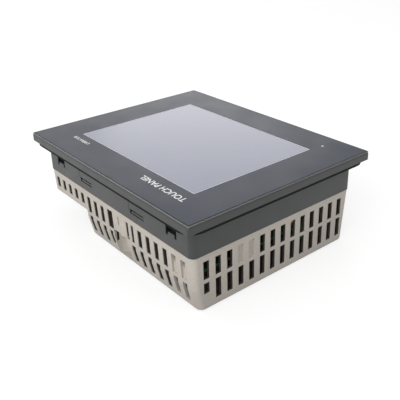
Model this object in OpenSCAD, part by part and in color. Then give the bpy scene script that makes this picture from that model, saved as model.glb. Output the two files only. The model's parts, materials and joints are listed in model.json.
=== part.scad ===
// Operator touch panel of the 5.7 inch class, lying on its back.
// +Z points out of the display, +Y to the panel's top edge and +X to the reader's right.
// The origin is under the centre of the flange, on the plane of the rear face.

/* [Front] */
// Width of the flange
panel_w = 169.5; // [168:0.5:172]
// Height of the flange
panel_h = 137; // [136:0.5:139]
// Depth from the display face to the rear face
depth = 59.5; // [58:0.5:62]
// Thickness of the flange
flange_t = 5.2; // [4.5:0.1:6]
// Corner radius of the flange
flange_r = 1.4; // [1:0.1:2]
// Width of the clear window
window_w = 118; // [116:0.1:118.4]
// Height of the clear window
window_h = 89.2; // [87:0.1:89.6]

/* [Housing] */
// Width of the housing behind the flange
housing_w = 155.5; // [155:0.1:155.8]
// Height of the housing behind the flange
housing_h = 123.4; // [122.5:0.1:123.5]
// Corner radius of the housing
housing_r = 3.6; // [3:0.2:5]
// Depth of the dark skirt, from the display face to the parting line
skirt_depth = 25; // [24:0.1:26]
// Depth of the shallow side, from the display face
shallow_depth = 41.5; // [40:0.5:43]
// Where the deep block ends and the shallow side starts
step_x = 36; // [35.5:0.5:37]
// Wall of the bezel's skirt
skirt_wall = 2.5; // [2:0.1:3]
// Wall of the rear cover
cover_wall = 2.2; // [2:0.1:2.4]
// Fillet round the rear face
rear_fillet = 1.5; // [1:0.1:2]

/* [Vents] */
// Distance from one vent slot to the next
vent_pitch = 8.05; // [7.9:0.05:8.1]
// Width of a vent slot
vent_w = 4.1; // [3:0.1:4.4]
// Depth of a closed vent slot
blind_depth = 1.5; // [0.5:0.1:1.6]

/* [Boards] */
// Thickness of the circuit boards
board_t = 1.6; // [1.2:0.1:2]
// Height of the main board's rear side above the rear face
main_z = 40.4; // [40:0.1:41]
// Height of the interface board's rear side above the rear face
interface_z = 15.4; // [15:0.1:15.6]

/* [Hidden] */
$fn = 48;

eps = 0.01;
cut = 1;

// Levels, counted up from the rear face
parting_z = depth - skirt_depth;
flange_z = depth - flange_t;
shallow_z = depth - shallow_depth;
slope_z = 14;
gasket_z = depth - 7;

// Front sheet and the rim round it
rim_w = 0.95;
sheet_gap = 0.35;
sheet_t = 0.6;
sheet_w = panel_w - 2 * (rim_w + sheet_gap);
sheet_h = panel_h - 2 * (rim_w + sheet_gap);
rim_profile = [[0, 1.8], [0.08, 1.2], [0.3, 0.6], [0.6, 0.22], [0.95, 0]];
front_wall_z = depth - sheet_t - 2;

// Touch and display stack
touch_glass_size = [124, 95, 1.4];
touch_glass_z = depth - sheet_t - touch_glass_size[2];
foam_t = 0.8;
lcd_size = [134, 104];
lcd_bottom_z = 48.8;
lcd_open = [118.6, 89.8];
lcd_sheet_t = 0.4;
lcd_glass_t = 1.8;
tail_x = 34;
tail_w = 12;

// Status lamp
lamp_pos = [-60.7, -53.9];
lamp_r = 0.9;

// Drafts of the rear cover's top and bottom walls
top_draft = 2.7;
top_slope = 12.9;
bend_t = 0.2;
bottom_draft = 6;
cover_inset = 0.3;
cover_half_w = housing_w / 2 - cover_inset;
cover_half_h = housing_h / 2 - cover_inset;
function top_y(z) = cover_half_h - (z > slope_z
    ? (parting_z - z) * tan(top_draft)
    : (parting_z - slope_z) * tan(top_draft) + (slope_z - z) * tan(top_slope));
function bottom_y(z) = -cover_half_h + (parting_z - z) * tan(bottom_draft);

// Clamp notches and snap tongues in the skirt
notch_x = 60.5;
notch_w = 9.4;
notch_top_z = depth - 8.5;
notch_z = depth - 16.4;
notch_leg_z = depth - 18.4;
tongue_x = 28.2;
tongue_w = 13.5;
tongue_z = depth - 18.8;
tongue_h = 2.7;
tongue_gap = 0.8;
pocket_z = [39.5, 53.5];
pocket_wall = 1.2;

// Screws
m3_r = 1.5;
m3_core_r = 1.25;
m3_clear_r = 1.7;
head_r = 2.9;
head_h = 2;
cover_screw_length = 24;
lug_pos = [-9.4, 57.3];
lug_r = 4.3;
well_pos = [-6.1, 59];
well_r = 7.3;
well_wall = 1.5;
lug_z = 19;
lug_hole_r = 2;
lug_hole_h = 5.5;
well_floor = 1.2;
deep_seat_z = 22;
cover_screw_places = [[-70.5, -51.5, deep_seat_z], [71, -52, deep_seat_z], [71, 53.5, deep_seat_z]];
chassis_screw_places = [[-71, -25], [-71, 25], [71, -25], [71, 25]];
boss_r = 3.2;

// Chassis, boards and their fixings
chassis_z = 47;
chassis_t = 1.2;
chassis_size = [132, 104];
spacer_places = [[-60, -46], [-60, 46], [60, -46], [60, 46]];
post_places = [[-62, -26], [-62, 36], [8, -24], [14, 44]];
hex_r = 3.1;
main_board_x = [-66, 66];
main_board_y = [-55, 53];
interface_x = [-67, 30];
interface_y = [-39, 50];
interface_top_z = interface_z + board_t;
main_top_z = main_z + board_t;

// Bay for the cable connectors in the bottom wall
bay_x = [-65, 27];
bay_y = -44;
bay_top_z = 18.5;
bay_wall = 2;
jack_size = [15.5, 18, 13];
serial_jack_x = -11;
network_jack_x = 8;
jack_y = -47;
serial_x = -30;
serial_z = interface_z - 6.3;
jack_nut_spacing = 24.99;
power_x = [-64, -46];
power_y = [-47, -33];
power_z = [3.4, interface_z];
pole_pitch = 5.08;
power_mid_x = (power_x[0] + power_x[1]) / 2;
power_mid_z = (power_z[0] + power_z[1]) / 2;
plug_gap = 0.2;
socket_wall = 1;

// Card door, card and switches in the step wall
door_y = [-5, 45];
door_z = [3, 16.1];
door_t = 1.7;
door_gap = 0.3;
hinge_x = step_x - 1.4;
hinge_z = 3;
knuckle_r = 1.4;
pin_r = 0.8;
pin_clearance = 0.05;
card_size = [32, 24, 2.1];
card_end_x = step_x - 2.8;
card_y = 2;
card_z = interface_z - 2.7;
switch_y = [31, 41];
switch_x = [25, step_x - 4];
switch_z = [7, interface_z];
slider_pitch = 4;
slider_size = [1.4, 1.6, 1.6];
slider_travel = 2;
usb_host_y = -18;
usb_host_size = [17, 13.2, 5.8];
usb_device_y = -34;
usb_device_size = [9, 7.8, 4];
usb_shell_t = 0.4;
usb_face_x = step_x + 0.6;

// Rating plate recessed in the rear face
plate_size = [62, 34];
plate_pos = [-22, 24];
plate_t = 0.3;

bezel_grey = "#54575a";
sheet_grey = "#6b7078";
cover_beige = "#cbc4bb";
board_green = "#1f5a3a";

// ---------------------------------------------------------------- shared shapes

module rounded_rect(w, h, r) {
    square([w - 2 * r, h], center = true);
    square([w, h - 2 * r], center = true);
    for (x = [-1, 1], y = [-1, 1])
        translate([x * (w / 2 - r), y * (h / 2 - r)]) circle(r);
}

module rounded_plate(w, h, r, t) {
    linear_extrude(t) rounded_rect(w, h, r);
}

// Box between two corner points
module span(a, b) {
    translate(a) cube(b - a);
}

// Thin rounded slab that closes one level of a lofted shape
module slab(x, y, z, r, t = eps) {
    translate([(x[0] + x[1]) / 2, (y[0] + y[1]) / 2, z])
        rounded_plate(x[1] - x[0], y[1] - y[0], r, t, $fn = 32);
}

// Cylinder along Y that starts at p and runs towards +Y
module rod_y(p, r, l) {
    translate(p) rotate([-90, 0, 0]) cylinder(r = r, h = l);
}

// Pan-head screw that points up, with its head's underside at p
module screw_up(p, length, slot_w) {
    translate(p) {
        cylinder(r = m3_r - 0.25, h = length);
        difference() {
            translate([0, 0, -head_h]) cylinder(r = head_r, h = head_h);
            for (a = [0, 90])
                rotate([0, 0, a])
                    translate([-head_r * 0.6, -slot_w / 2, -head_h - cut])
                        cube([head_r * 1.2, slot_w, cut + head_h * 0.5]);
        }
    }
}

// Hexagonal post with a hole through it
module hex_post(p, length) {
    translate(p) difference() {
        cylinder(r = hex_r, h = length, $fn = 6);
        translate([0, 0, -cut]) cylinder(r = m3_core_r, h = length + 2 * cut);
    }
}

// ---------------------------------------------------------------- front

// Flange with its rounded rim
module flange_body() {
    hull() {
        translate([0, 0, flange_z]) rounded_plate(panel_w, panel_h, flange_r, eps, $fn = 32);
        for (p = rim_profile)
            translate([0, 0, depth - p[1] - eps])
                rounded_plate(panel_w - 2 * p[0], panel_h - 2 * p[0], flange_r, eps, $fn = 32);
    }
}

// Hook-shaped notch that takes one clamp, cut through a skirt wall on the side s
module clamp_notch(x, s) {
    y = s * (housing_h / 2 - skirt_wall / 2);
    d = skirt_wall + 2 * cut;
    translate([x - notch_w / 2, y - d / 2, notch_z]) cube([notch_w, d, notch_top_z - notch_z]);
    for (leg = [[-notch_w / 2, 1.7, notch_leg_z], [notch_w / 2 - 2, 2, notch_leg_z]])
        translate([x + leg[0], y - d / 2, leg[2]]) cube([leg[1], d, notch_z - leg[2] + eps]);
}

// Block inside the skirt that closes the space behind a notch; d is its inset on all hidden sides
module notch_pocket(x, s, d) {
    y = [s > 0 ? 53.6 + d : -housing_h / 2 + 1, s > 0 ? housing_h / 2 - 1 : -55.4 - d];
    span([x - 7 + d, y[0], pocket_z[0] + d], [x + 7 - d, y[1], pocket_z[1] - d]);
}

// U-shaped cut that frees a snap tongue in a skirt wall on the side s
module tongue_cut(x, s) {
    y = s * (housing_h / 2 - skirt_wall / 2);
    d = skirt_wall + 2 * cut;
    translate([x, y, tongue_z]) difference() {
        cube([tongue_w, d, tongue_h], center = true);
        translate([-1, 0, 0]) cube([tongue_w - 1.4, d + cut, tongue_h - 2 * tongue_gap], center = true);
    }
    translate([x + tongue_w / 2 + 0.7, s * housing_h / 2, tongue_z])
        translate([0, -0.3, 0]) cube([0.35, 0.6, flange_z - tongue_z + eps]);
}

module front_bezel() {
    color(bezel_grey) difference() {
        union() {
            flange_body();
            translate([0, 0, parting_z])
                rounded_plate(housing_w, housing_h, housing_r, flange_z - parting_z + eps);
        }
        // pocket for the front sheet
        translate([0, 0, depth - sheet_t])
            rounded_plate(sheet_w + 2 * sheet_gap, sheet_h + 2 * sheet_gap, 1, sheet_t + cut);
        // opening for the touch glass
        translate([0, 0, front_wall_z - cut])
            rounded_plate(touch_glass_size[0] + 0.6, touch_glass_size[1] + 0.6, 1, 2 * cut + 2);
        // room behind the front wall, leaving the screw bosses
        difference() {
            translate([0, 0, parting_z - cut])
                rounded_plate(housing_w - 2 * skirt_wall, housing_h - 2 * skirt_wall,
                    housing_r - skirt_wall, front_wall_z - parting_z + cut);
            for (p = cover_screw_places)
                translate([p[0], p[1], parting_z]) cylinder(r = boss_r, h = front_wall_z - parting_z);
            for (p = chassis_screw_places)
                translate([p[0], p[1], chassis_z + chassis_t])
                    cylinder(r = boss_r, h = front_wall_z - chassis_z - chassis_t);
            for (s = [-1, 1], x = [-notch_x, notch_x]) notch_pocket(x, s, 0);
        }
        // channel for the touch glass's tail
        span([tail_x - 7, 46, front_wall_z - cut], [tail_x + 7, 54, touch_glass_z + 0.2]);
        for (p = cover_screw_places)
            translate([p[0], p[1], parting_z - cut]) cylinder(r = m3_core_r, h = 13 + cut);
        for (p = chassis_screw_places)
            translate([p[0], p[1], chassis_z]) cylinder(r = m3_core_r, h = 8);
        // groove for the gasket
        translate([0, 0, flange_z - cut]) gasket_ring(2.2, 1.4, cut + 1.2);
        // light pipe
        translate([lamp_pos[0], lamp_pos[1], front_wall_z - cut]) cylinder(r = lamp_r, h = 2 * cut + 2);
        for (s = [-1, 1]) {
            for (x = [-notch_x, notch_x]) {
                clamp_notch(x, s);
                notch_pocket(x, s, pocket_wall);
            }
            for (x = [-tongue_x, tongue_x]) tongue_cut(x, s);
        }
    }
}

module front_sheet() {
    color(sheet_grey) translate([0, 0, depth - sheet_t]) difference() {
        rounded_plate(sheet_w, sheet_h, 0.8, sheet_t);
        translate([0, 0, -cut]) rounded_plate(window_w, window_h, 0.5, sheet_t + 2 * cut);
        translate([lamp_pos[0], lamp_pos[1], -cut]) cylinder(r = lamp_r, h = sheet_t + 2 * cut);
    }
}

module touch_film() {
    color("#a4a6b8") translate([0, 0, depth - sheet_t])
        rounded_plate(window_w, window_h, 0.5, sheet_t - 0.15);
}

module touch_glass() {
    color("#9fa6a8", 0.6) translate([0, 0, touch_glass_z])
        rounded_plate(touch_glass_size[0], touch_glass_size[1], 0.8, touch_glass_size[2]);
}

// Flat tail from the touch glass, round the display's top edge, to the main board
module touch_tail() {
    t = 0.3;
    y1 = lcd_size[1] / 2 + 0.5;
    z1 = main_top_z + 1.2;
    color("#b5793a") translate([tail_x, 0, 0]) rotate([90, 0, 90]) linear_extrude(tail_w, center = true)
        polygon([[44, touch_glass_z], [y1 + t, touch_glass_z], [y1 + t, z1], [46, z1], [46, z1 + t],
            [y1, z1 + t], [y1, touch_glass_z - t], [44, touch_glass_z - t]]);
}

module touch_foam() {
    color("#2a2b2d") difference() {
        translate([0, 0, touch_glass_z - foam_t]) rounded_plate(123, 94, 0.8, foam_t);
        translate([0, 0, touch_glass_z - foam_t - cut]) rounded_plate(118.6, 89.4, 0.5, foam_t + 2 * cut);
        span([tail_x - 7, 43, touch_glass_z - foam_t - cut], [tail_x + 7, 50, touch_glass_z + cut]);
    }
}

// Black ring of a gasket: inset from the flange's edge, width and height
module gasket_ring(inset, w, t) {
    difference() {
        rounded_plate(panel_w - 2 * inset, panel_h - 2 * inset, 10 - inset / 2, t);
        translate([0, 0, -cut])
            rounded_plate(panel_w - 2 * (inset + w), panel_h - 2 * (inset + w), 8 - inset / 2, t + 2 * cut);
    }
}

module panel_gasket() {
    color("#1c1c1e") {
        translate([0, 0, gasket_z]) gasket_ring(0.5, 4, flange_z - gasket_z);
        translate([0, 0, flange_z - eps]) gasket_ring(2.2, 1.4, 1.2 + eps);
    }
}

// ---------------------------------------------------------------- display

module lcd_frame() {
    lcd_foam_z = touch_glass_z - foam_t;
    color("#b9bcbf") difference() {
        translate([0, 0, lcd_bottom_z])
            rounded_plate(lcd_size[0], lcd_size[1], 1, lcd_foam_z - lcd_bottom_z);
        translate([0, 0, lcd_bottom_z - cut])
            rounded_plate(lcd_size[0] - 2 * lcd_sheet_t, lcd_size[1] - 2 * lcd_sheet_t, 0.6,
                lcd_foam_z - lcd_sheet_t - lcd_bottom_z + cut);
        translate([0, 0, lcd_foam_z - 2 * cut]) rounded_plate(lcd_open[0], lcd_open[1], 0.5, 4 * cut);
    }
}

module lcd_glass() {
    top = touch_glass_z - foam_t - lcd_sheet_t;
    color("#3d4450") translate([0, 0, top - lcd_glass_t])
        rounded_plate(lcd_size[0] - 8, lcd_size[1] - 6, 0.5, lcd_glass_t);
}

module lcd_backlight() {
    top = touch_glass_z - foam_t - lcd_sheet_t - lcd_glass_t;
    color("#e8e8e4") translate([0, 0, lcd_bottom_z])
        rounded_plate(lcd_size[0] - 1, lcd_size[1] - 1, 0.6, top - lcd_bottom_z);
}

// Flat cable from the back of the display, through the chassis, to the main board
module lcd_flex() {
    t = 0.3;
    z1 = main_top_z + 1.2;
    color("#b5793a") rotate([90, 0, 90]) linear_extrude(24, center = true)
        polygon([[-46, lcd_bottom_z], [-46, z1], [-39, z1], [-39, z1 + t], [-46 + t, z1 + t],
            [-46 + t, lcd_bottom_z - t], [-42, lcd_bottom_z - t], [-42, lcd_bottom_z]]);
}

module lamp_lens() {
    color("#f2f2ee") translate([lamp_pos[0], lamp_pos[1], main_top_z + 1.4])
        cylinder(r = lamp_r, h = depth - main_top_z - 1.4);
}

module lamp_led() {
    color("#f4e9b0") translate([lamp_pos[0] - 1.6, lamp_pos[1] - 0.8, main_top_z]) cube([3.2, 1.6, 1.2]);
}

// ---------------------------------------------------------------- chassis and main board

module chassis_plate() {
    color("#a9adb0") difference() {
        union() {
            translate([0, 0, chassis_z]) rounded_plate(chassis_size[0], chassis_size[1], 2, chassis_t);
            for (y = [-25, 25])
                translate([0, y, chassis_z]) rounded_plate(148, 10, 2, chassis_t);
        }
        for (p = chassis_screw_places)
            translate([p[0], p[1], chassis_z - cut]) cylinder(r = m3_clear_r, h = chassis_t + 2 * cut);
        for (p = spacer_places)
            translate([p[0], p[1], chassis_z - cut]) cylinder(r = m3_core_r, h = chassis_t + 2 * cut);
        span([tail_x - 8, 44, chassis_z - cut], [tail_x + 8, 60, chassis_z + chassis_t + cut]);
        span([-14, -48, chassis_z - cut], [14, -34, chassis_z + chassis_t + cut]);
    }
}

module chassis_screws() {
    color("#c9ccce")
        for (p = chassis_screw_places) screw_up([p[0], p[1], chassis_z], 7, 0.7);
}

module board_spacers() {
    color("#c8a85a")
        for (p = spacer_places) hex_post([p[0], p[1], main_top_z], chassis_z - main_top_z);
}

module board_outline(x, y, z) {
    translate([(x[0] + x[1]) / 2, (y[0] + y[1]) / 2, z])
        rounded_plate(x[1] - x[0], y[1] - y[0], 1.5, board_t);
}

module main_board() {
    color(board_green) difference() {
        board_outline(main_board_x, main_board_y, main_z);
        for (p = concat(spacer_places, post_places))
            translate([p[0], p[1], main_z - cut]) cylinder(r = m3_r, h = board_t + 2 * cut);
    }
}

module board_screws() {
    color("#c9ccce")
        for (p = spacer_places) translate([p[0], p[1], main_z]) {
            cylinder(r = m3_core_r - 0.05, h = 5);
            translate([0, 0, -head_h]) cylinder(r = head_r, h = head_h);
        }
}

module processor() {
    color("#26282b") span([2, -8, main_z - 2], [27, 17, main_z]);
}

module heat_sink() {
    size = 30;
    base_t = 2.5;
    fin_h = 8;
    top = main_z - 2;
    color("#8f959a") translate([14.5, 4.5, 0]) {
        translate([-size / 2, -size / 2, top - base_t]) cube([size, size, base_t]);
        for (i = [0:6])
            translate([-size / 2 + i * (size - 1.4) / 6, -size / 2, top - base_t - fin_h])
                cube([1.4, size, fin_h + eps]);
    }
}

module memory_chips() {
    color("#26282b") {
        for (y = [-22, -2, 18]) span([36, y, main_z - 1.2], [47, y + 14, main_z]);
        for (x = [-24, -8]) span([x, -24, main_z - 1.2], [x + 12, -16, main_z]);
    }
}

module main_capacitors() {
    color("#3a4a6a")
        for (p = [[-44, 26], [-44, 38], [-32, 38]])
            translate([p[0], p[1], main_z - 10]) cylinder(r = 4, h = 10);
}

module battery_holder() {
    color("#2d2d2f") translate([-40, -10, main_z - 5]) difference() {
        cylinder(r = 12, h = 5);
        translate([0, 0, -cut]) cylinder(r = 10.1, h = 4 + cut);
        translate([-4, -14, -cut]) cube([8, 8, 4 + cut]);
    }
}

module backup_battery() {
    color("#c9ccce") translate([-40, -10, main_z - 4.4]) cylinder(r = 10, h = 3.2);
}

module touch_connector() {
    color("#e5e1d5") span([tail_x - 7, 42, main_top_z], [tail_x + 7, 46, main_top_z + 2.4]);
}

module lcd_connector() {
    color("#e5e1d5") span([-14, -39, main_top_z], [14, -35, main_top_z + 2.4]);
}

// ---------------------------------------------------------------- interface board

module board_link() {
    color("#2d2d2f") span([-24, 30, interface_top_z], [4, 35, main_z]);
}

module board_posts() {
    color("#c8a85a")
        for (p = post_places) hex_post([p[0], p[1], interface_top_z], main_z - interface_top_z);
}

// Screws into both ends of each post
module post_screws() {
    color("#c9ccce")
        for (p = post_places, end = [[interface_z, 0], [main_top_z, 180]])
            translate([p[0], p[1], end[0]]) rotate([end[1], 0, 0]) {
                cylinder(r = m3_core_r - 0.05, h = 6);
                translate([0, 0, -head_h]) cylinder(r = head_r, h = head_h);
            }
}

module interface_board() {
    color(board_green) difference() {
        board_outline(interface_x, interface_y, interface_z);
        for (p = post_places)
            translate([p[0], p[1], interface_z - cut]) cylinder(r = m3_r, h = board_t + 2 * cut);
    }
}

module power_transformer() {
    color("#3b3326") span([-58, -14, interface_top_z], [-38, 4, interface_top_z + 14]);
}

module power_capacitors() {
    color("#2b3b5c")
        for (p = [[-56, 14], [-44, 14], [-56, 26]])
            translate([p[0], p[1], interface_top_z]) cylinder(r = 5, h = 14);
}

module power_socket() {
    color("#2f6b3c") difference() {
        span([power_x[0], power_y[0], power_z[0]], [power_x[1], power_y[1], power_z[1]]);
        span([power_x[0] + socket_wall, power_y[0] - cut, power_z[0] + socket_wall],
            [power_x[1] - socket_wall, power_y[1] - 4, power_z[1] - socket_wall]);
    }
}

module power_pins() {
    color("#d8d2b8")
        for (i = [-1:1])
            rod_y([power_mid_x + i * pole_pitch, power_y[0] + 2, power_mid_z], 0.5, 8 + eps);
}

module power_plug() {
    g = socket_wall + plug_gap;
    out_y = power_y[0] - 9.5;
    color("#3c8a4e") difference() {
        union() {
            span([power_x[0] + g, power_y[0] - 0.3, power_z[0] + g],
                [power_x[1] - g, power_y[1] - 4.3, power_z[1] - g]);
            span([power_x[0], out_y, power_z[0] - 0.4], [power_x[1], power_y[0] - 0.3 + eps, power_z[1] - 1]);
        }
        for (i = [-1:1]) {
            x = power_mid_x + i * pole_pitch;
            // contact bore over the socket's pin
            rod_y([x, power_y[0] + 1, power_mid_z], 0.7, 12);
            // wire entry
            rod_y([x, out_y - cut, power_mid_z], 1.4, 5 + cut);
            // terminal screw
            translate([x, out_y + 3.6, power_z[0] - 0.4 - cut]) cylinder(r = 2, h = 3 + cut);
        }
    }
}

module terminal_screws() {
    color("#c9ccce")
        for (i = [-1:1])
            translate([power_mid_x + i * pole_pitch, power_y[0] - 5.9, power_z[0] - 0.4]) difference() {
                translate([0, 0, 0.8]) cylinder(r = 2, h = 2.2);
                translate([-2.5, -0.35, 0]) cube([5, 0.7, 1.6]);
            }
}

// D-shaped outline with its wide side towards the interface board
module d_outline(w, h, lean) {
    polygon([[-w / 2, h / 2], [w / 2, h / 2], [w / 2 - lean, -h / 2], [-w / 2 + lean, -h / 2]]);
}

// Places the outline at the serial connector and extrudes it from y0 to y1
module at_serial(y0, y1) {
    translate([serial_x, y1, serial_z]) rotate([90, 0, 0]) linear_extrude(y1 - y0) children();
}

module serial_shell() {
    color("#c3c6c8") difference() {
        union() {
            at_serial(bay_y - 0.8, bay_y) rounded_rect(30.8, 12.5, 1);
            at_serial(bay_y - 6.6, bay_y) d_outline(17, 8.6, 1.4);
        }
        at_serial(bay_y - 6.6 - cut, bay_y + cut) d_outline(16.2, 7.8, 1.4);
        for (s = [-1, 1])
            rod_y([serial_x + s * jack_nut_spacing / 2, bay_y - 2, serial_z], 1.6, 4);
    }
}

module serial_insulator() {
    color("#2b2b2e") {
        at_serial(bay_y - 0.8, -33) d_outline(16.2, 7.8, 1.4);
        span([serial_x - 9, bay_y + bay_wall + 0.3, serial_z - 4.5], [serial_x + 9, -33, interface_z]);
    }
}

module serial_pins() {
    pitch = 2.77;
    color("#d9c27a") {
        for (i = [-2:2]) rod_y([serial_x + i * pitch, bay_y - 6, serial_z + 1.42], 0.5, 5.2);
        for (i = [-1.5:1.5]) rod_y([serial_x + i * pitch, bay_y - 6, serial_z - 1.42], 0.5, 5.2);
    }
}

module serial_nuts() {
    color("#d5d7d8")
        for (s = [-1, 1])
            translate([serial_x + s * jack_nut_spacing / 2, bay_y - 0.8, serial_z]) rotate([90, 0, 0])
                difference() {
                    cylinder(r = 2.85, h = 5, $fn = 6);
                    translate([0, 0, -cut]) cylinder(r = m3_core_r, h = 5 + 2 * cut);
                }
}

// Modular jack for an eight-way plug, its mouth towards -Y
module jack_body(x) {
    z0 = interface_z - jack_size[2];
    mid = x + jack_size[0] / 2;
    difference() {
        span([x, jack_y, z0], [x + jack_size[0], jack_y + jack_size[1], interface_z]);
        span([mid - 5.9, jack_y - cut, z0 + 4], [mid + 5.9, jack_y + 13, z0 + 10.6]);
        span([mid - 3, jack_y - cut, z0 + 1.8], [mid + 3, jack_y + 8, z0 + 4 + eps]);
    }
}

module jack_contacts(x) {
    z0 = interface_z - jack_size[2];
    mid = x + jack_size[0] / 2;
    for (i = [-3.5:3.5])
        translate([mid + i * 1.02 - 0.2, jack_y + 4, z0 + 9.6]) cube([0.4, 9, 1]);
}

module serial_jack() {
    color("#2b2b2e") jack_body(serial_jack_x);
}

module serial_jack_contacts() {
    color("#d9c27a") jack_contacts(serial_jack_x);
}

module network_jack() {
    color("#b9bcbf") difference() {
        jack_body(network_jack_x);
        for (x = [1, jack_size[0] - 3.2])
            span([network_jack_x + x, jack_y - cut, interface_z - jack_size[2] + 1],
                [network_jack_x + x + 2.2, jack_y + 1.5, interface_z - jack_size[2] + 3.2]);
    }
}

module network_jack_contacts() {
    color("#d9c27a") jack_contacts(network_jack_x);
}

module network_lamps() {
    color("#7fbf5a")
        for (x = [1, jack_size[0] - 3.2])
            span([network_jack_x + x, jack_y - 0.2, interface_z - jack_size[2] + 1],
                [network_jack_x + x + 2.2, jack_y + 1.5, interface_z - jack_size[2] + 3.2]);
}

// Open metal shell of a USB port, its mouth towards +X
module usb_shell(y, size) {
    x0 = usb_face_x - size[0];
    difference() {
        span([x0, y - size[1] / 2, interface_z - size[2]], [usb_face_x, y + size[1] / 2, interface_z]);
        span([x0 + 2, y - size[1] / 2 + usb_shell_t, interface_z - size[2] + usb_shell_t],
            [usb_face_x + cut, y + size[1] / 2 - usb_shell_t, interface_z - usb_shell_t]);
    }
}

module usb_host_port() {
    color("#c3c6c8") usb_shell(usb_host_y, usb_host_size);
}

module usb_host_tongue() {
    color("#e9e9e6") span([usb_face_x - 15, usb_host_y - 5.5, interface_z - 2.4],
        [usb_face_x - 1, usb_host_y + 5.5, interface_z - 0.6]);
}

module usb_device_port() {
    color("#c3c6c8") usb_shell(usb_device_y, usb_device_size);
}

module usb_device_tongue() {
    color("#2b2b2e") span([usb_face_x - 7, usb_device_y - 2.4, interface_z - 2.5],
        [usb_face_x - 1, usb_device_y + 2.4, interface_z - 1.5]);
}

// ---------------------------------------------------------------- card, switches and door

module card_socket() {
    gap = 0.25;
    x0 = card_end_x - card_size[0] - 1.6;
    color("#b9bcbf") difference() {
        span([x0, card_y - 2, card_z - 0.6], [card_end_x - 3, card_y + card_size[1] + 2, interface_z]);
        span([card_end_x - card_size[0] - 1.3, card_y - gap, card_z - gap],
            [card_end_x, card_y + card_size[1] + gap, card_z + card_size[2] + gap]);
    }
}

module memory_card() {
    color("#2f3d63") difference() {
        span([card_end_x - card_size[0], card_y, card_z],
            [card_end_x, card_y + card_size[1], card_z + card_size[2]]);
        translate([card_end_x - card_size[0], card_y, card_z - cut])
            rotate([0, 0, 45]) cube([5.6, 5.6, 2 * (card_size[2] + 2 * cut)], center = true);
    }
}

module mode_switch() {
    mid_y = (switch_y[0] + switch_y[1]) / 2;
    color("#a8322d") difference() {
        span([switch_x[0], switch_y[0], switch_z[0]], [switch_x[1], switch_y[1], switch_z[1]]);
        for (i = [-0.5, 0.5])
            translate([switch_x[1] - 1.2, mid_y + i * slider_pitch - 1, switch_z[0] + 2])
                cube([1.2 + cut, 2, slider_size[2] + slider_travel + 0.4]);
    }
}

module mode_slider(i) {
    mid_y = (switch_y[0] + switch_y[1]) / 2;
    color("#f2f2ee")
        translate([switch_x[1] - 1, mid_y + i * slider_pitch - slider_size[1] / 2, switch_z[0] + 2.2])
            cube([slider_size[0] + 0.4, slider_size[1], slider_size[2]]);
}

module mode_slider_1() {
    mode_slider(-0.5);
}

module mode_slider_2() {
    mode_slider(0.5);
}

module card_door() {
    y0 = door_y[0] + door_gap;
    y1 = door_y[1] - door_gap;
    mid = (y0 + y1) / 2;
    color(cover_beige) difference() {
        union() {
            span([step_x - door_t, y0, hinge_z], [step_x, y1, door_z[1]]);
            rod_y([hinge_x, y0, hinge_z], knuckle_r, y1 - y0);
            // grip rib
            span([step_x - eps, mid - 6, door_z[1] - 3.4], [step_x + 0.6, mid + 6, door_z[1] - 2.4]);
        }
        rod_y([hinge_x, y0 - cut, hinge_z], pin_r + pin_clearance, y1 - y0 + 2 * cut);
    }
}

module door_pin() {
    color("#c9ccce") rod_y([hinge_x, door_y[0] - 3, hinge_z], pin_r, door_y[1] - door_y[0] + 6);
}

// ---------------------------------------------------------------- rear cover

// Levels and insets of the fillet round a rear face at height z
function fillet_level(z, a) = z + rear_fillet * (1 - sin(a));
function fillet_inset(a) = rear_fillet * (1 - cos(a));

// Outer shape down to z_end, from the left wall to x_end. A deep one bends at slope_z.
module cover_outside(x_end, z_end) {
    x0 = -cover_half_w;
    hull() {
        slab([x0, x_end], [bottom_y(parting_z), top_y(parting_z)], parting_z - eps, housing_r);
        if (z_end < slope_z)
            slab([x0, x_end], [bottom_y(slope_z) + 1, top_y(slope_z)], slope_z - bend_t, housing_r, bend_t);
        for (a = [0:30:90]) {
            z = fillet_level(z_end, a);
            d = fillet_inset(a);
            slab([x0 + d, x_end - d], [bottom_y(z) + d, top_y(z) - d], z, housing_r - d / 2);
        }
    }
}

// Room inside, one wall smaller
module cover_inside(x_end, z_end) {
    w = cover_wall;
    x = [-cover_half_w + w, x_end - w];
    hull() {
        slab(x, [bottom_y(parting_z) + w, top_y(parting_z) - w], parting_z + cut, housing_r - w);
        if (z_end < slope_z)
            slab(x, [bottom_y(slope_z) + w + 1, top_y(slope_z) - w], slope_z - bend_t, housing_r - w, bend_t);
        slab(x, [bottom_y(z_end + w) + w, top_y(z_end + w) - w], z_end + w, housing_r - w);
    }
}

// Slot through the top or bottom wall, s is the wall's side
module y_vent(x, w, z0, z1, s) {
    y = (s > 0 ? top_y(z0) : -bottom_y(z0)) - cover_wall - 0.7;
    translate([x - w / 2, s > 0 ? y : -y - 10, z0]) cube([w, 10, z1 - z0]);
}

// Slot through the left or right wall
module x_vent(y, w, z0, z1, s) {
    x = cover_half_w - cover_wall - 0.4;
    translate([s > 0 ? x : -x - 5, y - w / 2, z0]) cube([5, w, z1 - z0]);
}

// Middle of slot i in the top wall
function top_vent_x(i) = (8.5 - i) * 8.15 + 0.5;

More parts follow.
